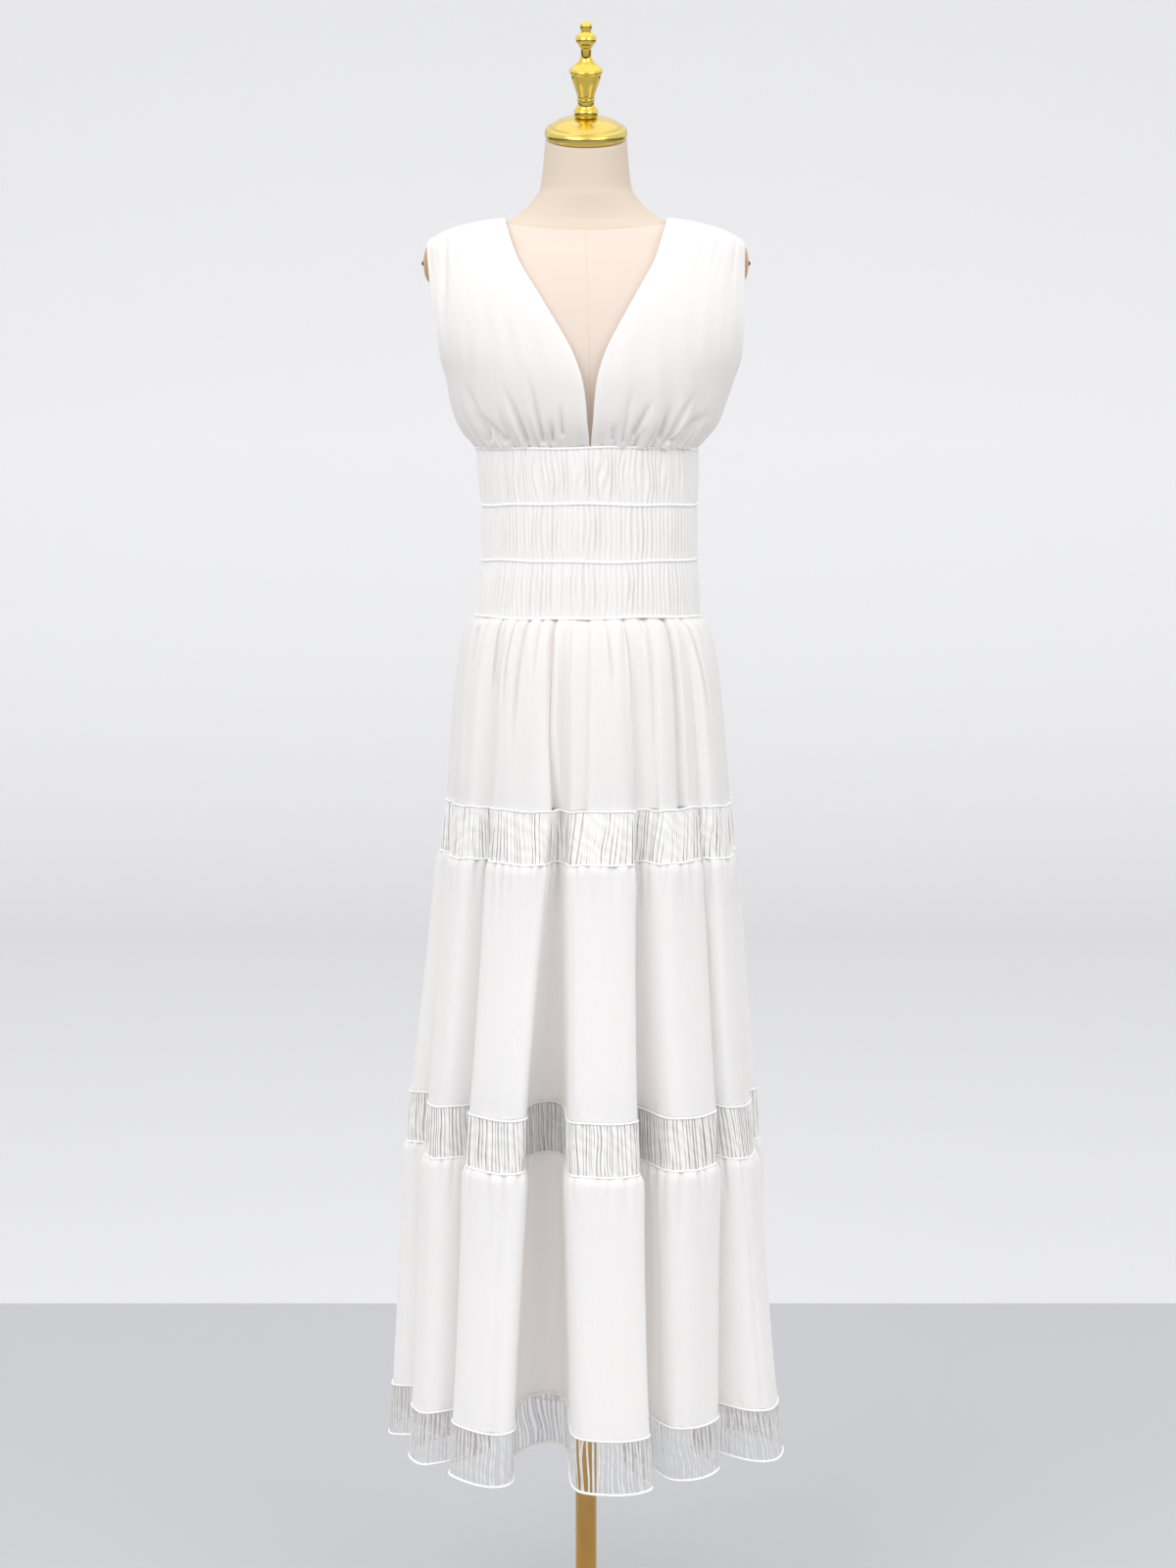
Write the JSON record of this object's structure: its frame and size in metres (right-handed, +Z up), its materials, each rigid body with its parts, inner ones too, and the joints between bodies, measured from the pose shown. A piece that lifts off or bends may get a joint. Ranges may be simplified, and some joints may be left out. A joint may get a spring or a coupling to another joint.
{
  "type": "maxi dress on limbless dress form",
  "caption": "Sleeveless tiered maxi dress with a deep V neck, ribbed waistband and open-work strips, on a limbless dress form with pole and round base.",
  "frame": {"origin": "on the floor under the centre of the form's round base", "axes": "+Z up along the pole, -Y out of the dress's front, +X to the right seen from the front"},
  "size_m": [0.4502, 0.4181, 1.8413],
  "materials": {
    "white_crepe": "matt crepe, a little see-through",
    "white_net": "open-work threads",
    "beige_jersey": "smooth stretched jersey",
    "tan_wood": "satin",
    "polished_gold": "polished",
    "brushed_gold": "brushed",
    "dark_metal": "satin"
  },
  "bodies": {
    "root": {"bodice_front_left": "white_crepe", "bodice_front_right": "white_crepe", "bodice_back_left": "white_crepe", "bodice_back_right": "white_crepe", "waist_row_1": "white_crepe", "waist_row_2": "white_crepe", "waist_row_3": "white_crepe", "waist_cord_1": "white_crepe", "waist_cord_2": "white_crepe", "waist_cord_3": "white_crepe", "waist_cord_4": "white_crepe", "skirt_tier_1_front": "white_crepe", "skirt_tier_1_back": "white_crepe", "skirt_tier_2_front": "white_crepe", "skirt_tier_2_back": "white_crepe", "skirt_tier_3_front": "white_crepe", "skirt_tier_3_back": "white_crepe", "insertion_1_front": "white_net", "insertion_1_back": "white_net", "insertion_2_front": "white_net", "insertion_2_back": "white_net", "hem_trim_front": "white_net", "hem_trim_back": "white_net", "form_torso": "beige_jersey", "neck_cap": "polished_gold", "finial": "polished_gold", "arm_plate_left": "tan_wood", "arm_plate_right": "tan_wood", "arm_knob_left": "dark_metal", "arm_knob_right": "dark_metal", "pole": "brushed_gold", "base_socket": "brushed_gold", "base_plate": "brushed_gold"}
  },
  "joints": []
}
